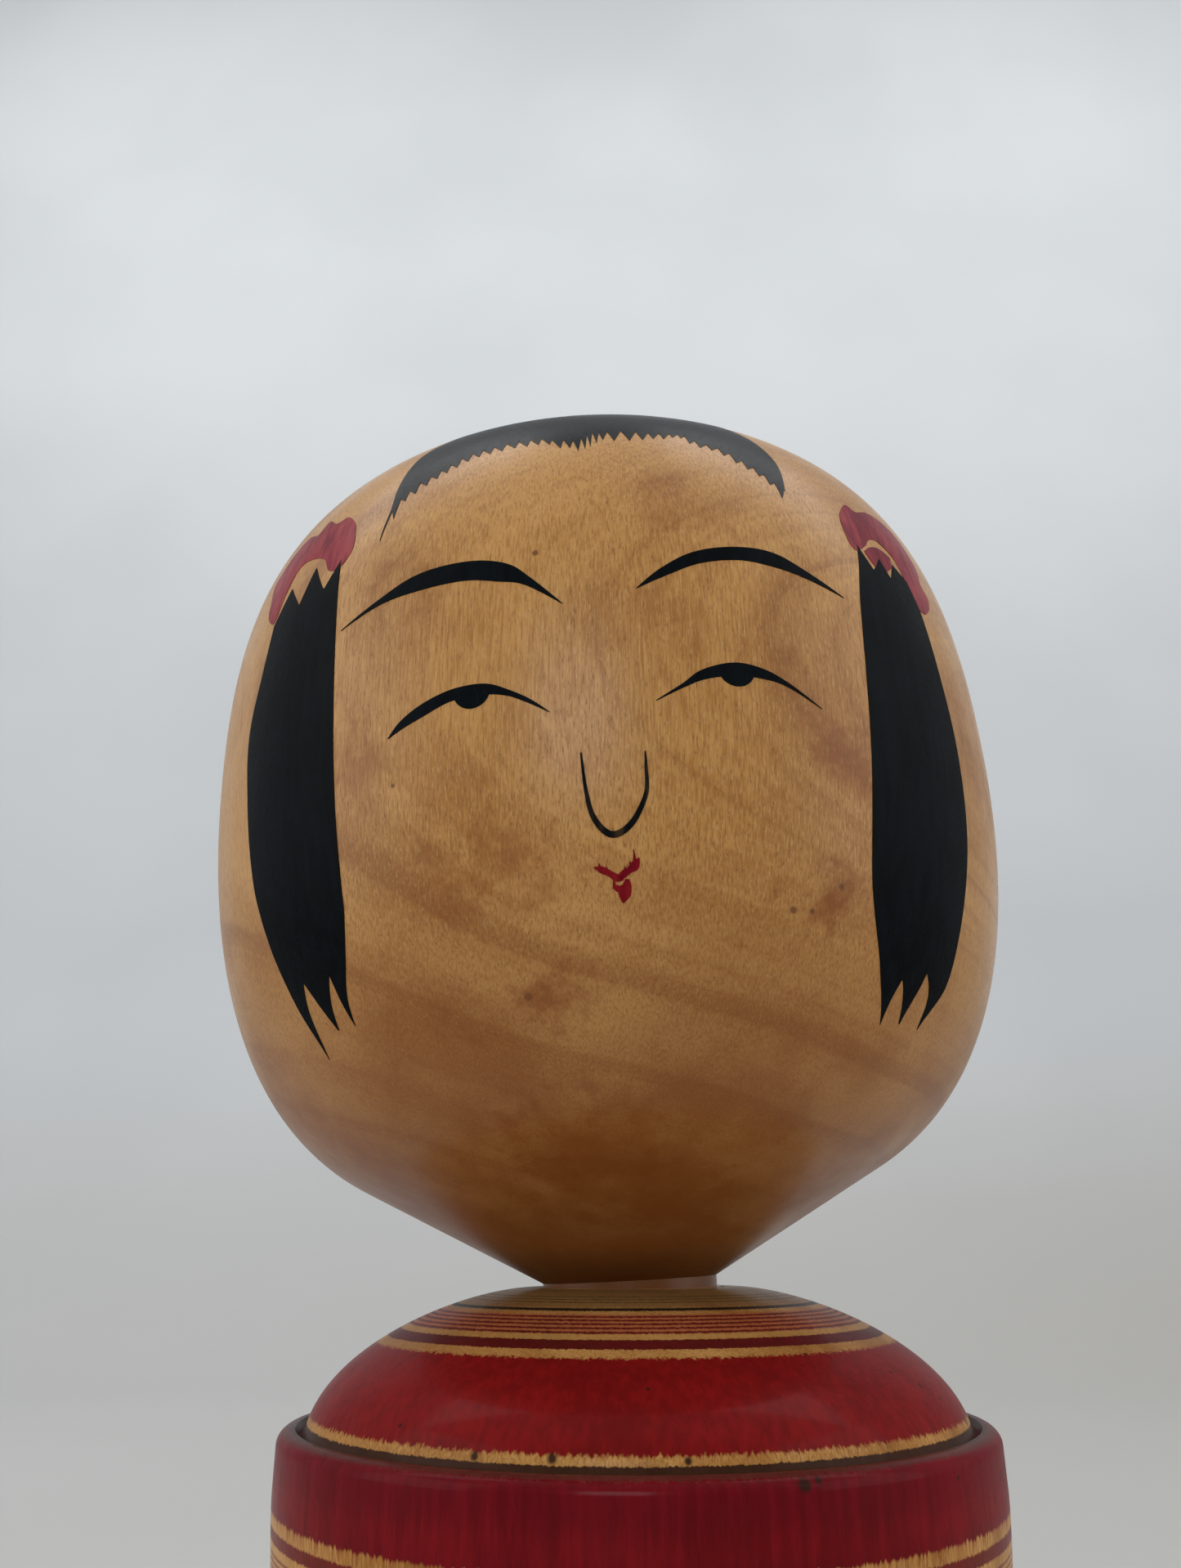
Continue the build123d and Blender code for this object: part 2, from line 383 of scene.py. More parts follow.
# %% Wrapping surface
class TurnedSurface:
    """The skin of a turned piece, looked up by angle and height or by angle and radius."""

    def __init__(self, outline, stand, core):
        self.outline = outline
        self.stand = stand
        self.core = core

    def outwards(self, spot):
        """The way out of the wood at a spot, from the nearest place on the piece's core."""
        height = (self.stand.inverted() @ spot).z / MM
        height = min(max(height, self.core[0]), self.core[1])
        return spot - self.stand @ Vector((0, 0, height * MM))

    def along(self, index, share, angle, lift):
        """The point a share of the way along one run of the outline, lifted off the wood."""
        (r0, h0), (r1, h1) = self.outline[index], self.outline[index + 1]
        radius, height = r0 + (r1 - r0) * share, h0 + (h1 - h0) * share
        ahead = self.outline[min(index + 2, len(self.outline) - 1)]
        behind = self.outline[max(index - 1, 0)]
        out_r, out_h = ahead[1] - behind[1], behind[0] - ahead[0]
        size = math.hypot(out_r, out_h) or 1.0
        out_r, out_h = out_r / size, out_h / size
        turn_angle = math.radians(angle)
        ahead_x, ahead_y = math.sin(turn_angle), -math.cos(turn_angle)
        spot = Vector((radius * ahead_x, radius * ahead_y, height))
        out = Vector((out_r * ahead_x, out_r * ahead_y, out_h))
        return self.stand @ ((spot + out * lift) * MM)

    def run_at(self, height):
        """Which run of the outline passes a height, and how far along it that is."""
        for index in range(len(self.outline) - 1):
            low, high = self.outline[index][1], self.outline[index + 1][1]
            if low <= height <= high and high > low:
                return index, (height - low) / (high - low)
        raise ValueError(f"no wood at height {height}")

    def radius_at(self, height):
        """How far the skin is from the axis at a height, in millimetres."""
        index, share = self.run_at(height)
        return self.outline[index][0] + (self.outline[index + 1][0] - self.outline[index][0]) * share

    def by_height(self, angle, height, lift=0.0):
        """A point on the side."""
        return self.along(*self.run_at(height), angle, lift)

    def by_radius(self, angle, radius, lift=0.0):
        """A point on top, near the axis, counted inwards from the crown's edge."""
        for index in range(len(self.outline) - 2, 0, -1):
            inner, outer = self.outline[index + 1][0], self.outline[index][0]
            if inner <= radius <= outer and outer > inner:
                return self.along(index, (outer - radius) / (outer - inner), angle, lift)
        raise ValueError(f"no wood at radius {radius}")

    def by_plan(self, x, y, lift=0.0):
        """A point on top, given as seen from straight above, with y towards the back."""
        return self.by_radius(math.degrees(math.atan2(x, -y)), math.hypot(x, y), lift)


axis = Vector(turn["axis"])
pivot = Vector(turn["pos_m"])
LEAN_CENTRE_DEPTH = 6.5
head_stand = (
    Matrix.Translation(pivot)
    @ Vector((0, 0, 1)).rotation_difference(axis).to_matrix().to_4x4()
    @ Matrix.Translation((0, 0, LEAN_CENTRE_DEPTH * MM))
)
on_head = TurnedSurface(head_outline, head_stand, (40, 50))
on_body = TurnedSurface(body_outline, Matrix.Identity(4), (5, 135))
print("cheek at", [round(c / MM, 2) for c in on_head.by_height(0, CHEEK_HEIGHT)], "mm")

# %% [markdown]
# ## Wood
# The wood is a pale close-grained timber that has turned honey brown under old varnish. Its year
# rings stand round a pith outside the piece. On the body they run along it. On the head they are
# shells round one spot, pressed flat, so they cross its round sides as slanting bands and ovals.
# Short dark and light flecks run with the grain. One group makes all of that from a place and a
# pith, and both turned pieces and the thin dyes over them use it.

# %% Wood group
HONEY_LIGHT = (0.56, 0.295, 0.09, 1)
HONEY_DARK = (0.335, 0.14, 0.031, 1)
STAIN = (0.21, 0.070, 0.012, 1)
FLECK_DARK = (0.13, 0.045, 0.012, 1)
FLECK_LIGHT = (0.60, 0.36, 0.15, 1)
RING_SCALE, RING_WOBBLE = 190.0, 12 * MM
FIBRE_PITCH, FLECK_PITCH = (6400, 6400, 300), (7600, 7600, 1500)
PALE_FLECK_SHIFT = (71, 37, 19)


def make_wood_group():
    """Growth rings, flecks and old stains, out of a place and the pith's place."""
    group, entry, leave = new_group(
        "honey_wood",
        [("Place", VECTOR, None), ("Pith", VECTOR, (0, 0, 0)), ("Grain", VECTOR, (1, 1, 0.05))],
        [("Color", COLOR), ("Height", FLOAT), ("Cloud", FLOAT)],
    )
    place = entry.outputs["Place"]
    from_pith = vector(group, "SUBTRACT", place, entry.outputs["Pith"])[0]
    pressed = vector(group, "MULTIPLY", from_pith, entry.outputs["Grain"])[0]
    reach = vector(group, "LENGTH", pressed)["Value"]
    reach = calc(group, "MULTIPLY_ADD", noise(group, place, 14.0, 3.0), RING_WOBBLE, reach)
    ring_inputs = {"W": reach, "Scale": RING_SCALE, "Detail": 4.0, "Roughness": 0.65}
    ring = add_node(group, "ShaderNodeTexNoise", ring_inputs, noise_dimensions="1D").outputs["Fac"]
    cloud = noise(group, place, 38.0, 6.0, 0.65)
    fibre = spread(group, place, FIBRE_PITCH, 3.0)
    flecks = vector(group, "MULTIPLY", place, FLECK_PITCH)[0]
    dark = noise(group, flecks, 1.0, 2.0)
    pale = noise(group, vector(group, "ADD", flecks, PALE_FLECK_SHIFT)[0], 0.9, 2.0)
    tone = calc(group, "MULTIPLY_ADD", cloud, 0.65, calc(group, "MULTIPLY", ring, 0.3))
    tone = calc(group, "MULTIPLY_ADD", fibre, 0.35, tone)
    colour = tint(group, fade(group, tone, 0.50, 0.82), HONEY_LIGHT, HONEY_DARK)
    colour = tint(group, fade(group, fibre, 0.47, 0.64, 0, 0.32), colour, HONEY_DARK)
    colour = tint(group, fade(group, ring, 0.60, 0.68, 0, 0.24), colour, STAIN)
    colour = tint(group, fade(group, pale, 0.52, 0.72, 0, 0.42), colour, FLECK_LIGHT)
    colour = tint(group, fade(group, dark, 0.54, 0.74, 0, 0.46), colour, FLECK_DARK)
    smudge = fade(group, noise(group, place, 75.0, 7.0, 0.72), 0.56, 0.72, 0, 0.7)
    patch = calc(group, "MULTIPLY", smudge, fade(group, cloud, 0.5, 0.6))
    colour = tint(group, patch, colour, STAIN)
    group.links.new(colour, leave.inputs["Color"])
    group.links.new(fade(group, dark, 0.58, 0.74, 1.0, 0.0), leave.inputs["Height"])
    group.links.new(cloud, leave.inputs["Cloud"])
    return group


honey_wood = make_wood_group()
print("wood group nodes", len(honey_wood.nodes))

# %% [markdown]
# ## Dye streaks
# Dye is brushed on while the piece spins or with single strokes, so it is thicker in some places
# than in others and sinks into the grain as fine upright streaks. This group answers how strong
# the dye is at a place, and how far a dyed edge has crept along the grain there.

# %% Streak group
STREAK_PITCH, CREEP_PITCH = (1500, 1500, 110), (4200, 4200, 160)


def make_streak_group():
    """Strength of a brushed dye, and the creep of its edges, out of a place."""
    outputs = [("Strength", FLOAT), ("Creep", FLOAT)]
    group, entry, leave = new_group("dye_streaks", [("Place", VECTOR, None)], outputs)
    place = entry.outputs["Place"]
    streak = spread(group, place, STREAK_PITCH, 3.0)
    wash = calc(group, "MULTIPLY", noise(group, place, 120.0, 4.0), 0.45)
    both = calc(group, "MULTIPLY_ADD", streak, 0.55, wash)
    group.links.new(fade(group, both, 0.36, 0.64), leave.inputs["Strength"])
    creep = spread(group, place, CREEP_PITCH, 2.0)
    group.links.new(calc(group, "SUBTRACT", creep, 0.5), leave.inputs["Creep"])
    return group


dye_streaks = make_streak_group()
print("streak group nodes", len(dye_streaks.nodes))

# %% [markdown]
# ## The head's finish
# The bare wood of the face shows a few pin knots, small dark rounds where a twig once was. Each
# is a soft ball of dark colour set in the wood at its own place, so it belongs to the timber and
# turns with the head. The few brown stains are made in the same way, with ragged edges. Towards
# the neck the wood goes amber: painted shade under the chin, together with varnish pooled there.
# The neck itself is darker still, a painted shadow where it stands down in the dome's shade.

# %% Head finish
PIN_KNOTS = [
    (-6, 57, 0.30), (22, 27, 0.32), (24.5, 27, 0.25), (28.5, 29, 0.3), (-10, 21.5, 0.35), (-24, 38.5, 0.2),
]
STAINS = [
    (26, 28, 4.5, 0.9), (-8, 21, 4.0, 0.85), (-9, 10.5, 9, 0.85), (6, 8, 7, 0.85), (31, 40, 5, 0.7),
    (-13, 31, 6, 0.6), (-30, 40, 6, 0.5), (12, 62, 7, 0.4),
]
AMBER = (0.23, 0.068, 0.012, 1)
NECK_SHADE_LOW, NECK_SHADE_HIGH = 164.0, 192.0
NECK_SHADOW_LOW, NECK_SHADOW_HIGH = 157.5, 160.5
HEAD_TIMBER = {"Pith": (0.048, -0.012, 0.205), "Grain": (0.8, 0.8, 1.9)}
BODY_TIMBER = {"Pith": (0.05, 0.045, 0), "Grain": (1, 1, 0.05)}
PORE_DEPTH = 0.04 * MM


def wood_base(name, timber, **constants):
    """A material of varnished wood, ready for more to be laid over its colour."""
    material, tree, shader = new_material(name, **constants)
    place = add_node(tree, "ShaderNodeTexCoord").outputs["Object"]
    wood = use_group(tree, honey_wood, {"Place": place, **timber})
    tree.links.new(fade(tree, wood["Cloud"], 0.3, 0.7, 0.26, 0.42), shader.inputs["Roughness"])
    pore_inputs = {"Strength": 0.35, "Distance": PORE_DEPTH, "Height": wood["Height"]}
    pores = add_node(tree, "ShaderNodeBump", pore_inputs)
    tree.links.new(pores.outputs["Normal"], shader.inputs["Normal"])
    return material, tree, shader, place, wood


head_finish, tree, shader, place, wood = wood_base(
    "varnished_head", HEAD_TIMBER, coat_weight=0.13, coat_roughness=0.25, specular_ior_level=0.2,
)
colour = wood["Color"]
blot = noise(tree, place, 260.0, 6.0, 0.7)
for angle, height, size, strength in STAINS:
    reach = size * MM
    gap = vector(tree, "DISTANCE", place, on_head.by_height(angle, height))["Value"]
    ragged = calc(tree, "MULTIPLY_ADD", blot, -4 * reach, calc(tree, "ADD", gap, 2 * reach))
    colour = tint(tree, fade(tree, ragged, -0.2 * reach, reach, strength, 0), colour, AMBER)
for angle, height, size in PIN_KNOTS:
    spot = on_head.by_height(angle, height)
    knot = spot_on(tree, place, spot, 0.5 * size * MM, 1.3 * size * MM, 0.85)
    colour = tint(tree, knot, colour, FLECK_DARK)
parts = add_node(tree, "ShaderNodeSeparateXYZ", {"Vector": place})
# Painted shade under the chin, together with pooled varnish: the wood goes amber towards the neck.
chin_shade_and_varnish = fade(tree, parts.outputs["Z"], NECK_SHADE_LOW * MM, NECK_SHADE_HIGH * MM, 0.9, 0.0)
chin_shade_and_varnish = calc(tree, "MULTIPLY", chin_shade_and_varnish, fade(tree, wood["Cloud"], 0.36, 0.62, 0.62, 1.0))
colour = tint(tree, chin_shade_and_varnish, colour, AMBER)
# Painted shadow on the neck, where it stands down in the dome's shade.
neck_shadow = fade(tree, parts.outputs["Z"], NECK_SHADOW_LOW * MM, NECK_SHADOW_HIGH * MM, 0.75, 0.0)
colour = tint(tree, neck_shadow, colour, FLECK_DARK)
tree.links.new(colour, shader.inputs["Base Color"])
print("head finish nodes", len(tree.nodes))

# %% [markdown]
# ## The body's finish
# The rings of colour round the body are dyed while it spins, each with a brush held still. Three
# of them are painted shade rather than dye: a soft dark ring on the dome round the neck, where the
# head shades it, a dark ring in the groove at the dome's foot, and the ledge next to the groove,
# which is dust and painted shade together. All of them can be told apart by one number, the climb:
# how high a spot is plus half its distance in from the widest ring. The climb grows all the way
# from the foot, over the ledge and up to the neck, so a ring is just a stretch of climb, with edges
# that creep along the grain. Below the ledge, a ring is given by its height alone. A few small
# nicks, where the dye has chipped and gone dark, are soft dots laid last.

# %% Body finish
CRIMSON = (0.108, 0.0022, 0.0065, 1)
SCARLET = (0.150, 0.004, 0.005, 1)
WINE = (0.075, 0.003, 0.006, 1)
SALMON = (0.30, 0.07, 0.03, 1)
INK = (0.003, 0.004, 0.005, 1)
OLIVE = (0.05, 0.038, 0.016, 1)
OCHRE = (0.36, 0.19, 0.055, 1)
DUST_AND_SHADE = (0.065, 0.006, 0.011, 1)
UMBER = (0.03, 0.010, 0.006, 1)
SHADE = (0.14, 0.075, 0.028, 1)


NICKS = [
    (-23, 146.2, 0.22), (-11.5, 146.3, 0.25), (7, 146.2, 0.2), (21, 144.9, 0.35), (23, 145.1, 0.2),
    (58, 149.5, 0.18), (52, 150.6, 0.14), (62, 148.4, 0.16), (70, 146.4, 0.3), (66, 142.8, 0.18),
    (60, 141.6, 0.14), (72, 143.6, 0.16), (-38, 147.6, 0.12), (34, 152.2, 0.12), (2, 150.4, 0.12),
    (48, 144.0, 0.12),
]


def dome_climb(radius):
    """The climb of a ring on the dome."""
    spot = on_body.by_radius(0, radius)
    return spot.z / MM + (SHOULDER_RADIUS - radius) / 2


def foot_climb(above_ledge):
    """The climb of a ring on the steep foot of the dome."""
    height = SHOULDER_HEIGHT + above_ledge
    return height + (SHOULDER_RADIUS - on_body.radius_at(height)) / 2


def dye_and_shade_rings():
    """Every ring of colour, dye and painted shade alike: low climb, high climb, colour, softness, strength.
    Later ones lie on top.
    """
    rings = [
        (dome_climb(21.75), dome_climb(21.05), OCHRE, 0.05, 0.6),
        (dome_climb(21.0), dome_climb(17.9), SALMON, 0.08, 0.75),
        # Painted shade: a soft dark ring on the dome round the neck, where the head shades it.
        (dome_climb(16.9), dome_climb(9.6), SHADE, 0.5, 0.7),
    ]
    for step in range(5):
        radius = 20.95 - 0.62 * step
        rings.append((dome_climb(radius), dome_climb(radius - 0.3), WINE, 0.06, 0.9))
    rings.append((dome_climb(17.2), dome_climb(16.65), INK, 0.05, 0.95))
    for radius in (15.35, 14.6, 13.8):
        rings.append((dome_climb(radius), dome_climb(radius - 0.2), OLIVE, 0.05, 0.95))
    rings += [
        (dome_climb(22.9), dome_climb(21.75), WINE, 0.06, 0.97),
        (foot_climb(0.9), dome_climb(23.8), SCARLET, 0.17, 0.992),
        # Painted shade in the groove at the dome's foot.
        (foot_climb(0.3) - 1.0, foot_climb(0.3), UMBER, 0.06, 0.97),
        # Dust on the ledge's top and rounded edge, with painted shade where it runs down into the groove.
        (145.5, foot_climb(0.3) - 0.9, DUST_AND_SHADE, 0.1, 0.93),
        (139.9, 145.6, CRIMSON, 0.13, 0.992),
        (140.1, 142.2, SCARLET, 0.9, 0.6),
        (138.1, 139.0, CRIMSON, 0.08, 0.93),
        (132.6, 133.9, CRIMSON, 0.2, 0.94),
        (131.2, 131.7, INK, 0.06, 0.95),
        (17.4, 17.9, INK, 0.06, 0.95),
        (14.6, 16.4, CRIMSON, 0.2, 0.94),
        (-0.5, 10.8, CRIMSON, 0.25, 0.96),
    ]
    fine_lows = [137.25 - 0.45 * step for step in range(7)] + [12.1 + 0.45 * step for step in range(5)]
    rings += [(low, low + 0.2, CRIMSON, 0.05, 0.75) for low in fine_lows]
    return rings


def lay_rings(tree, place, colour):
    """Lays every ring over a colour, with crept edges and uneven strength."""
    spot = add_node(tree, "ShaderNodeSeparateXYZ", {"Vector": place})
    radius = vector(tree, "LENGTH", vector(tree, "MULTIPLY", place, (1, 1, 0))[0])["Value"]
    half_in = calc(tree, "MULTIPLY_ADD", radius, -0.5, SHOULDER_RADIUS * MM / 2)
    climb = calc(tree, "ADD", spot.outputs["Z"], calc(tree, "MAXIMUM", half_in, 0.0))
    climb = calc(tree, "MULTIPLY", climb, 1 / MM)
    streaks = use_group(tree, dye_streaks, {"Place": place})
    # Most rings' colours are dyes; the shade rings in the list are painted shade.
    for low, high, dye, soft, strength in dye_and_shade_rings():
        crept = calc(tree, "MULTIPLY_ADD", streaks["Creep"], 6.0 * soft, climb)
        rise = fade(tree, crept, low - soft, low + soft)
        fall = fade(tree, crept, high - soft, high + soft, 1.0, 0.0)
        mask = calc(tree, "MULTIPLY", calc(tree, "MULTIPLY", rise, fall), strength)
        thin = tuple(min(1.0, part * 1.45) for part in dye[:3]) + (1,)
        shade = tint(tree, streaks["Strength"], thin, dye)
        colour = tint(tree, mask, colour, shade)
    return colour


body_finish, tree, shader, place, wood = wood_base(
    "dyed_body", BODY_TIMBER, coat_weight=0.07, coat_roughness=0.12, specular_ior_level=0.03,
)
colour = lay_rings(tree, place, wood["Color"])
for angle, height, size in NICKS:
    spot = on_body.by_height(angle, height)
    nick = spot_on(tree, place, spot, 0.7 * size * MM, 2.0 * size * MM, 0.95)
    colour = tint(tree, nick, colour, UMBER)
tree.links.new(colour, shader.inputs["Base Color"])
print("body finish nodes", len(tree.nodes))

# %% [markdown]
# ## The head
# The head, its neck, the plug and the snapping bulb are one piece of wood, so one outline is spun
# for all of them, and then the piece is stood on its leaning axis. A real head is turned from one
# block in the same way. The wood is then drawn in by the thickness of the paint.

# %% Turn the head
PLUG_LENGTH, BULB_RADIUS, PLUG_RADIUS, BULB_TOP, NOSE = 19.3, 6.5, 6.0, -11.3, 1.5


def draw_in(bm):
    """Draws a turned surface in by the thickness that paint and varnish take up."""
    bmesh.ops.recalc_face_normals(bm, faces=bm.faces)
    bm.normal_update()
    moved = [(vert, vert.normal * (SKIN * MM)) for vert in bm.verts if vert.co.z > SKIN * MM]
    for vert, step in moved:
        vert.co -= step


bm = bmesh.new()
plug_outline = [
    (0.0, -PLUG_LENGTH), (BULB_RADIUS - NOSE, -PLUG_LENGTH), (BULB_RADIUS, NOSE - PLUG_LENGTH),
    (BULB_RADIUS, BULB_TOP), (PLUG_RADIUS, BULB_TOP), (PLUG_RADIUS, SEAT_GAP),
]
spin_outline(bm, plug_outline + head_outline)
bmesh.ops.transform(bm, matrix=head_stand, verts=bm.verts)
draw_in(bm)
head_piece = finish_mesh(bm, "head_turned", head_finish)
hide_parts("head")
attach(head_piece, "head")

# %% [markdown]
# ## The body
# The body's outside is spun upright, with a few shallow tool rings left under the foot. The
# socket is bored from the top along the head's leaning axis: its outline is spun on that axis, cut
# level with the dome's rim, and bridged to the rim. The bridge leaves no open edge, but it comes
# out twisted, so its faces cross the socket's mouth. The neck hides them at every turn. Joining the
# two edges spot by spot, in order of angle, would keep the mouth open.

# %% Turn the body
SEAT_RADIUS, BORE_TOP = 8.7, 3.0
COLLAR_RADIUS, COLLAR_LENGTH = 6.06, 11.0
CHAMBER_RADIUS, CHAMBER_BOTTOM, DRILL_POINT = 6.8, -20.8, 3.93
FOOT_RINGS, RING_DEPTH = (5.0, 11.0, 17.0, 23.0), 0.3


def foot_outline():
    """The underside from the middle out, with its shallow tool rings."""
    spots = [(0.0, RING_DEPTH), (1.2, 0.0)]
    for radius in FOOT_RINGS:
        spots += [(radius, 0.0), (radius + 0.5, RING_DEPTH), (radius + 1.0, 0.0)]
    return spots


bm = bmesh.new()
spin_outline(bm, foot_outline() + body_outline)
bore = bmesh.new()
spin_outline(bore, [
    (0.0, CHAMBER_BOTTOM - DRILL_POINT), (CHAMBER_RADIUS, CHAMBER_BOTTOM),
    (CHAMBER_RADIUS, -COLLAR_LENGTH), (COLLAR_RADIUS, -COLLAR_LENGTH),
    (COLLAR_RADIUS, 0.0), (SEAT_RADIUS, 0.0), (SEAT_RADIUS, BORE_TOP),
])
bmesh.ops.transform(bore, matrix=head_stand, verts=bore.verts)
bmesh.ops.bisect_plane(
    bore, geom=bore.verts[:] + bore.edges[:] + bore.faces[:],
    plane_co=(0, 0, DOME_TOP * MM), plane_no=(0, 0, 1), clear_outer=True,
)
bore_mesh = bpy.data.meshes.new("bore")
bore.to_mesh(bore_mesh)
bore.free()
bm.from_mesh(bore_mesh)
bpy.data.meshes.remove(bore_mesh)
rim_and_seat = [edge for edge in bm.edges if edge.is_boundary]
bmesh.ops.bridge_loops(bm, edges=rim_and_seat)
draw_in(bm)
body_piece = finish_mesh(bm, "body_turned", body_finish)
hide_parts("body")
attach(body_piece, "body")

# %% [markdown]
# ## Brushes
# A painted shape is a thin film. A flat grid is made first, every spot of it is moved to where the
# paint lies on the wood, and extruding it into the wood gives it its thickness. Solidify could do
# that too, but it throws long spikes where a stroke's tip narrows to nothing. A stroke is a smooth
# line with a width at each of its listed spots, and a patch is the wood between two edges.

# %% Brush helpers
FILM_TOP, FILM_THICKNESS = -0.008, 0.055
OVER_TOP = -0.003


def through(points, share):
    """The spot a share of the way along a smooth line through given points."""
    place = min(max(share, 0.0), 1.0) * (len(points) - 1)
    index = min(int(place), len(points) - 2)
    t = place - index
    last = len(points) - 1
    four = [points[max(index - 1, 0)], points[index], points[index + 1], points[min(index + 2, last)]]
    return tuple(
        0.5 * (2 * b + (c - a) * t + (2 * a - 5 * b + 4 * c - d) * t * t + (3 * b - a - 3 * c + d) * t ** 3)
        for a, b, c, d in zip(*four)
    )


def value_at(points, x, smooth=True):
    """The height of a line through (x, value) points, smooth or with sharp corners."""
    for index in range(len(points) - 1):
        if x <= points[index + 1][0] or index == len(points) - 2:
            share = (x - points[index][0]) / (points[index + 1][0] - points[index][0])
            share = min(max(share, 0.0), 1.0)
            if smooth:
                return through(points, (index + share) / (len(points) - 1))[1]
            return points[index][1] + share * (points[index + 1][1] - points[index][1])


def brushed(points, put, scale_at):
    """A stroke through (first, second, width) spots; put lands a spot on the wood."""
    def place(u, v):
        first, second, width = through(points, u)
        ahead, behind = through(points, u + 0.01), through(points, u - 0.01)
        scale = scale_at(second)
        run, rise = (ahead[0] - behind[0]) * scale, ahead[1] - behind[1]
        shift = max(width, 0.0) * (v - 0.5) / (math.hypot(run, rise) or 1.0)
        return put(first - shift * rise / scale, second + shift * run, FILM_TOP)
    return place


def stroke(surface, points):
    """A brush stroke on the side, through (angle, height, width) spots."""
    return brushed(points, surface.by_height, lambda height: math.radians(1) * surface.radius_at(height))


def top_stroke(surface, points):
    """A brush stroke on the crown, through (x, y, width) spots seen from above."""
    return brushed(points, surface.by_plan, lambda y: 1.0)


def paint(name, surface, strokes, material):
    """Makes one object of films; each stroke is (place, spots along, spots across)."""
    bm = bmesh.new()
    for place, along, across in strokes:
        grid = bmesh.ops.create_grid(bm, x_segments=along, y_segments=across, size=0.5)
        for vert in grid["verts"]:
            vert.co = place(vert.co.x + 0.5, vert.co.y + 0.5)
        faces = list({face for vert in grid["verts"] for face in vert.link_faces})
        bmesh.ops.recalc_face_normals(bm, faces=faces)
        if sum(surface.outwards(face.calc_center_median()).dot(face.normal) for face in faces) < 0:
            bmesh.ops.reverse_faces(bm, faces=faces)
    bmesh.ops.remove_doubles(bm, verts=bm.verts, dist=0.002 * MM)
    bmesh.ops.dissolve_degenerate(bm, edges=bm.edges, dist=0.001 * MM)
    grown = bmesh.ops.extrude_face_region(bm, geom=bm.faces[:], use_keep_orig=True)["geom"]
    for vert in (item for item in grown if isinstance(item, bmesh.types.BMVert)):
        vert.co -= surface.outwards(vert.co).normalized() * (FILM_THICKNESS * MM)
    piece = finish_mesh(bm, name, material)
    body = "head" if surface is on_head else "body"
    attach(piece, body)
    return piece


# %% [markdown]
# ## Paints
# The black is ink thickened with glue: nearly black and a little blue. On the fringe it is
# thinner and shines more, and the fine lines have faint brush marks. The red and green are dyes,
# so the grain shows through where the brush ran dry. All of them are the streak group laid over
# the wood group, which is simpler than painting each one its own picture.

# %% Paints
def make_paint(name, deep, thin, timber, cover, **constants):
    """A thin paint over wood: deep where it is thick, thin and see-through where it is dry."""
    material, tree, shader, place, wood = wood_base(name, timber, **constants)
    streaks = use_group(tree, dye_streaks, {"Place": place})
    dye = tint(tree, streaks["Strength"], thin, deep)
    amount = fade(tree, streaks["Strength"], 0.0, 0.6, cover, 1.0)
    tree.links.new(tint(tree, amount, wood["Color"], dye), shader.inputs["Base Color"])
    print(name, "nodes", len(tree.nodes))
    return material


black_ink = make_paint(
    "black_ink", INK, (0.005, 0.007, 0.009, 1), HEAD_TIMBER, 1.0, specular_ior_level=0.02,
)
thin_ink = make_paint(
    "thin_ink", INK, (0.008, 0.010, 0.012, 1), HEAD_TIMBER, 1.0, specular_ior_level=0.09,
)
fine_ink = make_paint(
    "fine_ink", INK, (0.02, 0.016, 0.012, 1), HEAD_TIMBER, 0.9, specular_ior_level=0.02,
)
red_dye = make_paint(
    "red_dye", (0.14, 0.004, 0.014, 1), (0.30, 0.018, 0.035, 1), HEAD_TIMBER, 0.93,
    coat_weight=0.05, coat_roughness=0.25, specular_ior_level=0.08,
)
lip_dye = make_paint(
    "lip_dye", (0.145, 0.002, 0.008, 1), (0.22, 0.004, 0.010, 1), HEAD_TIMBER, 0.98,
    coat_weight=0.03, coat_roughness=0.25, specular_ior_level=0.06,
)
leaf_dye = make_paint(
    "leaf_dye", (0.02, 0.05, 0.02, 1), (0.035, 0.085, 0.03, 1), BODY_TIMBER, 0.85,
    coat_weight=0.5, coat_roughness=0.15,
)
petal_dye = make_paint(
    "petal_dye", CRIMSON, (0.35, 0.03, 0.03, 1), BODY_TIMBER, 0.85, coat_weight=0.5, coat_roughness=0.15,
)

# %% [markdown]
# ## The face
# The face is a few strokes of a fine brush: two long brows that swell and thin, two narrow eyes
# that are one upper lid each with half a pupil hanging from it, a nose that is one bent line, and
# a small red mouth. Each stroke is given by the angle round the head, the height above the neck
# seat and the width of the brush there, because that is how the brush was led.

# %% Brows, eyes and nose
BROW_LEFT = [
    (-32.2, 54.1, 0.05), (-26.3, 55.5, 0.6), (-20.8, 56.3, 1.7), (-14.5, 56.3, 1.9),
    (-10.0, 55.5, 1.8), (-7.0, 54.3, 0.8), (-3.0, 51.8, 0.05),
]
BROW_RIGHT = [
    (5.5, 52.9, 0.05), (8.8, 54.5, 0.8), (13.1, 56.1, 1.2), (18.3, 56.9, 1.35),
    (23.0, 56.8, 1.5), (27.4, 55.9, 0.8), (32.8, 54.5, 0.05),
]
LID_LEFT = [
    (-24.5, 42.5, 0.05), (-22.6, 43.4, 0.7), (-20.0, 44.2, 1.05), (-17.0, 44.9, 1.0), (-14.5, 45.1, 1.0),
    (-12.0, 45.0, 0.9), (-9.5, 44.4, 0.5), (-7.2, 43.5, 0.35), (-5.0, 42.4, 0.05),
]
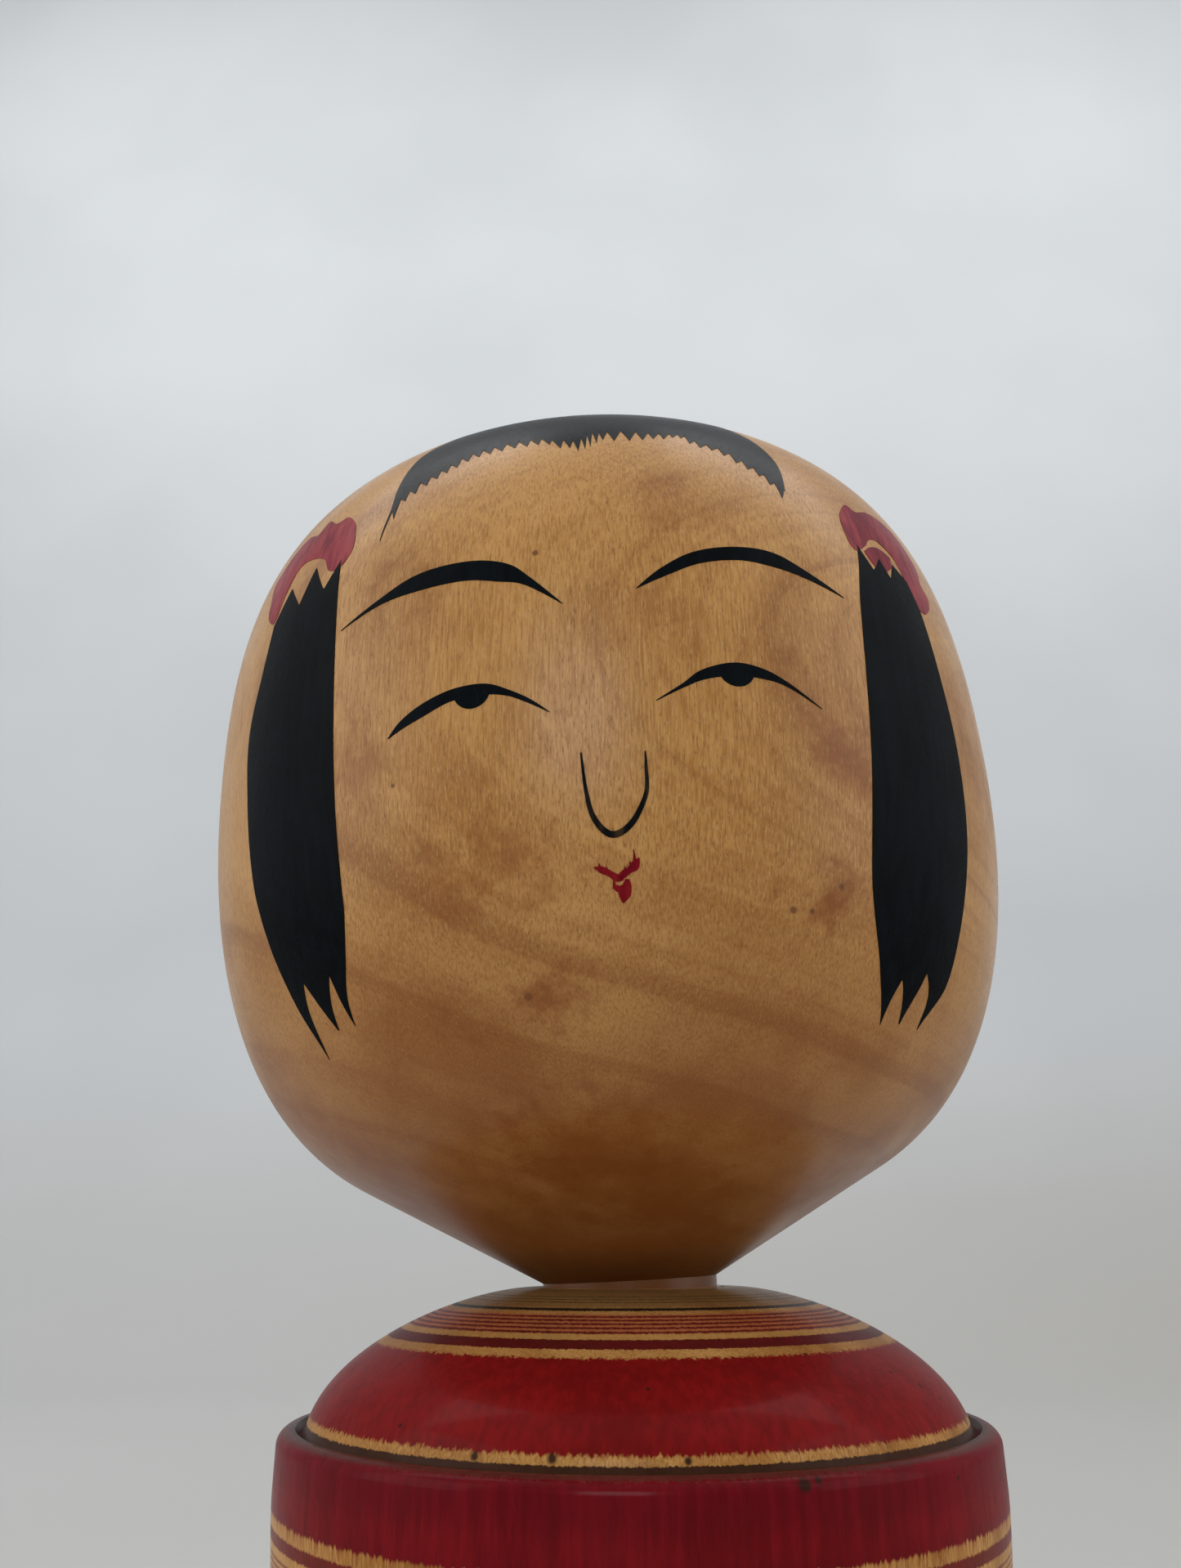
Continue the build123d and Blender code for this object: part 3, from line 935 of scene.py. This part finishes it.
LID_RIGHT = [
    (6.8, 42.9, 0.05), (10.0, 44.2, 0.35), (12.5, 45.2, 0.85), (16.2, 45.8, 1.15),
    (19.5, 45.6, 0.9), (22.5, 44.9, 0.4), (26.8, 43.2, 0.05),
]
NOSE_LINE = [
    (-1.8, 38.9, 0.15), (-1.5, 36.0, 0.3), (-0.8, 33.8, 0.42), (1.0, 32.5, 0.5),
    (3.2, 33.2, 0.46), (5.0, 35.4, 0.35), (5.2, 37.5, 0.25), (5.2, 38.8, 0.1),
]


def pupil(angle, top, half_width, depth):
    """Half a round pupil that hangs from a lid."""
    def place(u, v):
        side = 2 * u - 1
        hang = depth * math.sqrt(max(0.0, 1 - side * side))
        return on_head.by_height(angle + half_width * side, top - v * hang, FILM_TOP)
    return place


paint("brows", on_head, [(stroke(on_head, line), 60, 6) for line in (BROW_LEFT, BROW_RIGHT)], black_ink)
paint("upper_lids", on_head, [(stroke(on_head, line), 60, 4) for line in (LID_LEFT, LID_RIGHT)], black_ink)
pupils = [(pupil(-13.8, 45.1, 2.2, 1.55), 24, 6), (pupil(16.3, 45.8, 2.2, 1.5), 24, 6)]
paint("pupils", on_head, pupils, black_ink)
paint("nose_line", on_head, [(stroke(on_head, NOSE_LINE), 60, 3)], fine_ink)

# %% Mouth
LIP_LEFT = [(-1.1, 30.15, 0.1), (-0.3, 29.95, 0.5), (0.6, 29.65, 0.45), (1.4, 29.3, 0.55), (2.1, 29.3, 0.3)]
LIP_RIGHT = [(1.4, 29.25, 0.3), (2.1, 29.55, 0.55), (2.8, 29.85, 0.5), (3.4, 30.15, 0.7), (3.9, 30.7, 0.1)]
LIP_LOWER = [(0.9, 28.75, 0.3), (1.6, 28.5, 0.5), (2.3, 28.7, 0.4), (2.8, 28.9, 0.1)]
LIP_DROP = [(2.5, 29.2, 0.3), (2.4, 28.7, 0.7), (2.1, 28.1, 0.9), (1.9, 27.5, 0.1)]
BRISTLE_MARKS = [
    (-0.5, 30.1, 0.35), (0.3, 29.8, 0.4), (1.0, 28.8, 0.5), (2.3, 29.7, 0.45), (2.9, 30.0, 0.5),
    (3.4, 30.5, 0.8),
]

mouth = [(stroke(on_head, line), 24, 4) for line in (LIP_LEFT, LIP_RIGHT, LIP_LOWER, LIP_DROP)]
for angle, height, reach in BRISTLE_MARKS:
    mark = [(angle, height, 0.25), (angle, height + reach / 2, 0.16), (angle - 0.05, height + reach, 0.04)]
    mouth.append((stroke(on_head, mark), 6, 2))
paint("mouth", on_head, mouth, lip_dye)

# %% [markdown]
# ## The hair
# The hair is a cut fringe high on the forehead and a long lock before each ear, painted black.
# The fringe is a crescent with small teeth along its lower edge, where the brush was set down and
# lifted again and again, and it runs back over the crown. The locks end in a few points at top
# and bottom. Each is a patch between two edges, and the teeth are sharp steps in an edge.

# %% Fringe
FRINGE_LOWER = [
    (-26.2, 65.4), (-23.8, 68.1), (-20.8, 69.0), (-18, 70.2), (-15, 70.9), (-11.8, 71.3), (-8.2, 71.4),
    (-5, 71.2), (-2, 70.5), (0.2, 69.8), (1.8, 70.7), (3.8, 71.1), (7.8, 71.2), (11, 71.5),
    (13.8, 72.0), (16, 70.9), (19.2, 70.1), (22.2, 68.8), (25, 67.4), (27.3, 65.1),
]
FRINGE_UPPER = [
    (-26.6, 65.8), (-26.4, 70), (-25, 73.8), (-21.5, 76.2), (-17.5, 78.6), (-11, 80.5), (0, 81.4),
    (11, 80.7), (18, 79), (23.2, 76.8), (27, 73.4), (28.6, 69.5), (27.8, 65.5),
]
TOOTH_COUNT, LONG_TOOTH, SHORT_TOOTH, PARTING = 38, 2.2, 1.8, 0.52


def fringe_place(u, v):
    """The fringe: from its toothed lower edge to its smooth upper edge over the crown."""
    low_angle, low_height = through(FRINGE_LOWER, u)
    high_angle, high_height = through(FRINGE_UPPER, u)
    tooth = u * TOOTH_COUNT
    number = int(tooth)
    random.seed(number)
    length = random.uniform(0.8, 1.15) * (LONG_TOOTH if u < PARTING else SHORT_TOOTH)
    point = 1 - abs(2 * (tooth - number) - 1)
    low_height += length * (0.4 - point)
    eased = v * v * (3 - 2 * v) * 0.3 + v * 0.7
    angle = low_angle + (high_angle - low_angle) * eased
    height = low_height + (high_height - low_height) * eased
    return on_head.by_height(angle, height, FILM_TOP)


FRINGE_TAIL = [(-26.2, 66.6, 0.3), (-26.7, 64.9, 0.22), (-27.1, 63.6, 0.15), (-27.4, 62.4, 0.05)]
paint(
    "fringe", on_head,
    [(fringe_place, TOOTH_COUNT * 4, 20), (stroke(on_head, FRINGE_TAIL), 16, 3)], thin_ink,
)

# %% Side locks
LEFT_INNER = [
    (19, -34.8), (23, -35.1), (26.5, -33.6), (30, -32.6), (40, -32.6), (48, -32.8), (55, -33.2), (63, -34),
]
LEFT_OUTER = [
    (19, -42.4), (23.5, -45.2), (28.5, -48), (34, -50.3), (42.5, -51.4), (49, -51.8), (55, -49.2), (60, -48),
]
LEFT_BOTTOM = [(0, 21.2), (0.25, 25.3), (0.38, 21), (0.69, 25.3), (1, 19.3)]
LEFT_TOP = [(0, 62.2), (0.2, 59.6), (0.38, 63), (0.56, 59.5), (0.77, 62.4), (1, 59.3)]
RIGHT_INNER = [(19, 37.9), (23, 35.8), (28, 33.5), (32, 33), (42, 33.8), (48, 34.5), (55, 35.8), (62, 38.2)]
RIGHT_OUTER = [
    (19, 45.8), (22.7, 50.3), (27.4, 51.8), (34, 53), (39, 53), (45, 52.3), (51, 51), (57, 49.8), (61, 48),
]
RIGHT_BOTTOM = [(0, 19.3), (0.29, 22.8), (0.45, 19.3), (0.62, 23.6), (1, 19.3)]
RIGHT_TOP = [(0, 61.5), (0.25, 59.1), (0.43, 61), (0.57, 59.1), (0.75, 61.2), (1, 60)]


def lock_place(inner, outer, bottom, top):
    """A lock of hair between its inner and outer edge, with pointed ends."""
    def place(u, v):
        low, high = value_at(bottom, u, smooth=False), value_at(top, u, smooth=False)
        height = low + (high - low) * v
        near, far = value_at(inner, height), value_at(outer, height)
        angle = near + (far - near) * u
        return on_head.by_height(angle, height, OVER_TOP)
    return place


left_lock = lock_place(LEFT_INNER, LEFT_OUTER, LEFT_BOTTOM, LEFT_TOP)
right_lock = lock_place(RIGHT_INNER, RIGHT_OUTER, RIGHT_BOTTOM, RIGHT_TOP)
paint("side_locks", on_head, [(left_lock, 48, 60), (right_lock, 48, 60)], black_ink)

# %% [markdown]
# ## The red hair ornament
# Above each lock is a red ribbon end, a fan of rounded lobes dabbed with the side of the brush.
# On the crown, out of the front view, the ribbon is tied round a small black topknot, with loops
# that run down to the two fans and strokes that fall to the back.

# %% Ribbon fans
LEFT_FAN_UPPER = [
    (-32.4, 64.8), (-33, 66.2), (-35.2, 67.8), (-37.8, 67.9), (-40.5, 69.2), (-42.5, 68.2),
    (-45.5, 69), (-48.5, 68.5), (-51, 67.3), (-53, 66), (-52.6, 64.6), (-51.6, 63.3),
]
LEFT_FAN_LOWER = [
    (-32.2, 64.4), (-32.2, 62.8), (-33.8, 61.4), (-36.2, 61.6), (-37.8, 63.4), (-40.8, 64.5),
    (-44.2, 64.7), (-46.4, 62.6), (-48.2, 59.8), (-50.4, 60.6), (-51.6, 62),
]
RIGHT_FAN_UPPER = [
    (36.4, 63.6), (37, 65), (39.4, 66.8), (41.2, 66.4), (44.8, 67.5), (48.8, 67.7), (52.2, 67.1),
    (54.2, 65.2), (54.8, 63.4), (53.6, 61.4), (54.8, 60.2), (53.8, 58.6),
]
RIGHT_FAN_LOWER = [
    (36.4, 63.2), (36.6, 61.6), (37.6, 60.7), (40, 61.8), (41.4, 62.9), (43.6, 63.4),
    (46.8, 62.2), (48, 59.8), (49.2, 57.6), (51, 57.2), (52.6, 57.8),
]
SMALL_FAN_UPPER = [(39.4, 61.1), (41.2, 62), (43.4, 62.4), (45.6, 62)]
SMALL_FAN_LOWER = [(39.5, 60.8), (41, 59.6), (43, 59.6), (45.2, 60.8)]


def fan_place(lower, upper):
    """A red fan between two scalloped edges."""
    def place(u, v):
        low, high = through(lower, u), through(upper, u)
        angle, height = (a + (b - a) * v for a, b in zip(low, high))
        return on_head.by_height(angle, height, FILM_TOP)
    return place


fans = [
    (fan_place(LEFT_FAN_LOWER, LEFT_FAN_UPPER), 60, 14),
    (fan_place(RIGHT_FAN_LOWER, RIGHT_FAN_UPPER), 60, 14),
    (fan_place(SMALL_FAN_LOWER, SMALL_FAN_UPPER), 20, 6),
]
paint("ribbon_fans", on_head, fans, red_dye)

# %% Topknot and ribbon on the crown
KNOT_STROKES, KNOT_INNER, KNOT_OUTER = 24, 2.0, 9.5
RIBBON_LOOPS = 3


def fan_stroke(angle, inner, outer, width):
    """One stroke outwards from the middle of the crown."""
    east, north = math.sin(math.radians(angle)), -math.cos(math.radians(angle))
    spots = []
    for share, full in ((0.0, 0.5), (0.35, 1.0), (0.75, 0.9), (1.0, 0.1)):
        radius = inner + (outer - inner) * share
        spots.append((east * radius, north * radius, width * full))
    return top_stroke(on_head, spots)


def ribbon_loop(side, number):
    """One bowed red stroke from the topknot towards a fan."""
    spread = 3.6 * number
    return top_stroke(on_head, [
        (side * 6, 1 - spread * 0.3, 0.6), (side * 13, 3.5 - spread, 2.6), (side * 20, 2 - spread * 1.3, 3.0),
        (side * 26, -3 - spread * 1.2, 2.6), (side * 29.5, -9 - spread * 0.9, 1.2),
    ])


knot = []
for step in range(KNOT_STROKES):
    knot.append((fan_stroke(360 * step / KNOT_STROKES, KNOT_INNER, KNOT_OUTER, 1.7), 16, 5))
paint("topknot", on_head, knot, black_ink)
loops = [(ribbon_loop(side, number), 40, 8) for side in (-1, 1) for number in range(RIBBON_LOOPS)]
tails = []
for angle in (-50, -30, -10, 10, 30, 50):
    tails.append((fan_stroke(180 + angle, 11.5, 27 - abs(angle) / 6, 2.6), 24, 7))
paint("crown_ribbon", on_head, loops + tails, red_dye)

# %% [markdown]
# ## Flowers on the body
# The body carries a column of chrysanthemums seen from the side, each a fan of curved petals,
# with green leaves between them. One petal stroke is described once, and its angle is worked out
# in a loop. They are plain country flowers, as any painter of such dolls would learn first.

# %% Chrysanthemums
FLOWERS = [(0.0, 103.0, 1.45), (5.0, 70.0, 1.55), (-4.0, 38.5, 1.4)]
PETAL_SPREAD, PETAL_REACH, PETAL_FAN = 11, 12.0, 1.25
PETAL_SHAPE = ((0.12, 0.15, 0.5), (0.4, 0.5, 1.4), (0.75, 0.9, 1.9), (1.0, 1.0, 0.5))


def petal(angle, height, size, lean):
    """One petal that leaves the flower's heart and bows over to its own side."""
    reach = PETAL_REACH * size * (1 - 0.12 * abs(lean))
    degree = math.degrees(1 / WAIST_RADIUS)
    return stroke(on_body, [
        (
            angle + degree * reach * out * math.sin(lean * PETAL_FAN),
            height + reach * up * math.cos(lean * PETAL_FAN), width * size,
        )
        for out, up, width in PETAL_SHAPE
    ])


def leaf(angle, height, side):
    """A pointed leaf with its tip outwards and down."""
    return stroke(on_body, [
        (angle + side * 3, height, 0.4), (angle + side * 14, height + 2.5, 3.0),
        (angle + side * 26, height + 1.0, 3.4), (angle + side * 37, height - 5.0, 0.2),
    ])


petals = []
leaves = []
for angle, height, size in FLOWERS:
    for step in range(PETAL_SPREAD):
        lean = 2 * step / (PETAL_SPREAD - 1) - 1
        petals.append((petal(angle, height, size, 1.35 * lean), 18, 5))
    for step in range(5):
        lean = step / 2 - 1
        petals.append((petal(angle, height - 1.5, 0.55 * size, lean), 14, 5))
    for side in (-1, 1):
        leaves.append((leaf(angle, height - 4.5, side), 24, 7))
        leaves.append((leaf(angle, height - 9.0, side), 24, 7))
paint("chrysanthemums", on_body, petals, petal_dye)
paint("leaves", on_body, leaves, leaf_dye)

# %% [markdown]
# ## Light
# The light is a white tent: bright walls left, right, above and behind, and a softer, darker
# patch where the camera looks in, so the varnish shows long pale streaks at its sides and the
# dome stays dark in front. The world carries the tent, four soft area lights shape the doll, and
# two wide ones wash the paper behind it. Past the paper's edges the camera sees plain pale air.

# %% Studio light
TENT_STRENGTH = 0.62
TENT_WALL, TENT_FRONT, TENT_BELOW = (0.95, 0.97, 1.0, 1), (0.22, 0.22, 0.23, 1), (0.05, 0.05, 0.05, 1)

world = bpy.data.worlds.new("white_tent")
world.use_nodes = True
bpy.context.scene.world = world
tree = world.node_tree
way = add_node(tree, "ShaderNodeTexCoord").outputs["Generated"]
parts = add_node(tree, "ShaderNodeSeparateXYZ", {"Vector": way})
to_camera = calc(tree, "MULTIPLY", parts.outputs["Y"], -1.0)
patch = fade(tree, to_camera, 0.35, 0.9)
tent = tint(tree, patch, TENT_WALL, TENT_FRONT)
below = fade(tree, parts.outputs["Z"], -0.6, 0.2, 1.0, 0.0)
tent = tint(tree, below, tent, TENT_BELOW)
seen = add_node(tree, "ShaderNodeLightPath").outputs["Is Camera Ray"]
tent = tint(tree, seen, tent, TENT_WALL)
tree.links.new(tent, tree.nodes["Background"].inputs["Color"])
tree.nodes["Background"].inputs["Strength"].default_value = TENT_STRENGTH

DOLL = Vector((0, 0, body_high.z))
LIGHTS = [
    ("overhead_softbox", (0.0, -0.15, 1.1), 1.1, 0.8, DOLL),
    ("left_softbox", (-0.9, -0.35, 0.45), 0.7, 2.0, DOLL),
    ("right_softbox", (0.9, -0.3, 0.45), 0.7, 1.8, DOLL),
    ("front_window", (-0.10, -0.95, 0.50), 0.35, 2.3, DOLL),
    ("left_wall_wash", (-1.5, 0.3, 3.0), 2.2, 33.0, Vector((-1.2, 2.3, 1.9))),
    ("right_wall_wash", (1.5, 0.3, 3.0), 2.2, 33.0, Vector((1.2, 2.3, 1.9))),
]
for name, spot, size, energy, target in LIGHTS:
    lamp_data = bpy.data.lights.new(name, "AREA")
    lamp_data.size = size
    lamp_data.energy = energy
    lamp = bpy.data.objects.new(name, lamp_data)
    facing = (target - Vector(spot)).to_track_quat("-Z", "Y").to_matrix().to_4x4()
    lamp.matrix_world = Matrix.Translation(spot) @ facing
    bpy.context.scene.collection.objects.link(lamp)
bpy.context.scene.view_settings.view_transform = "Standard"
print("lights", len(LIGHTS))
